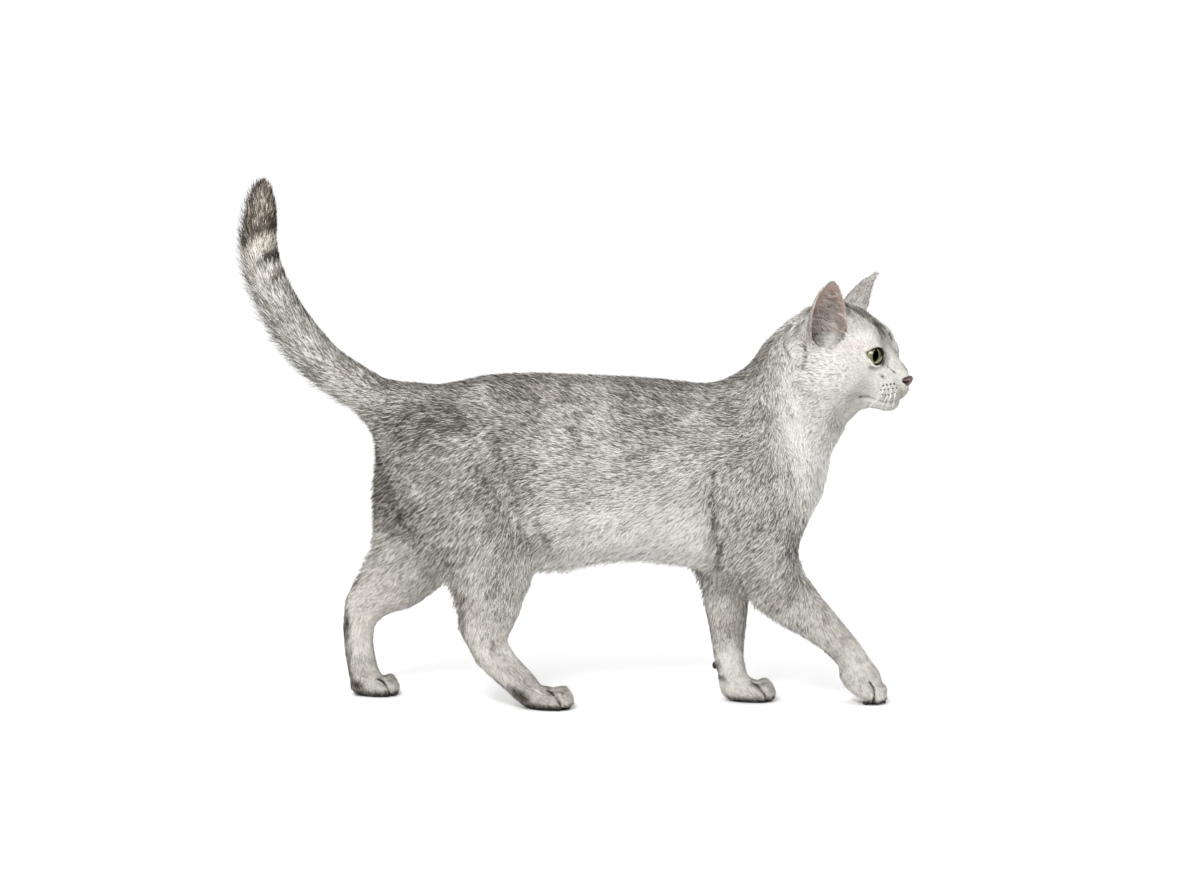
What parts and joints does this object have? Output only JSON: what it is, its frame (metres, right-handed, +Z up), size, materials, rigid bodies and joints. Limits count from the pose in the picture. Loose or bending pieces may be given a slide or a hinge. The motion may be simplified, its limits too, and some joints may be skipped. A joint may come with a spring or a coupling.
{
  "type": "domestic cat model",
  "caption": "Still, life-size model of a silver shorthair cat walking with its tail raised in a curve and its head turned a little to its right.",
  "frame": {"origin": "on the floor, under the middle of the box that holds the cat", "axes": "+X towards the nose, +Y to the cat's left, +Z up"},
  "size_m": [0.5538, 0.1106, 0.436],
  "materials": {
    "coat": "short close silver fur, each hair pale with a dark tip",
    "ear": "thin skin with fine short fur",
    "eye": "clear wet cornea over a pale green iris",
    "nose_leather": "fine-grained moist skin, dusky pink with a dark rim",
    "pad": "rough dark pad skin",
    "claw": "smooth translucent horn",
    "whisker": "stiff white hair"
  },
  "bodies": {
    "root": {"trunk": "coat", "neck": "coat", "head": "coat", "nose": "nose_leather", "eye_right": "eye", "eye_left": "eye", "ear_right": "ear", "ear_left": "ear", "tail_root": "coat", "tail_middle": "coat", "tail_tip": "coat", "fore_upper_arm_right": "coat", "fore_forearm_right": "coat", "fore_paw_right": "coat", "hind_thigh_right": "coat", "hind_shank_right": "coat", "hind_metatarsus_right": "coat", "hind_paw_right": "coat", "fore_upper_arm_left": "coat", "fore_forearm_left": "coat", "fore_paw_left": "coat", "hind_thigh_left": "coat", "hind_shank_left": "coat", "hind_metatarsus_left": "coat", "hind_paw_left": "coat"}
  },
  "joints": []
}
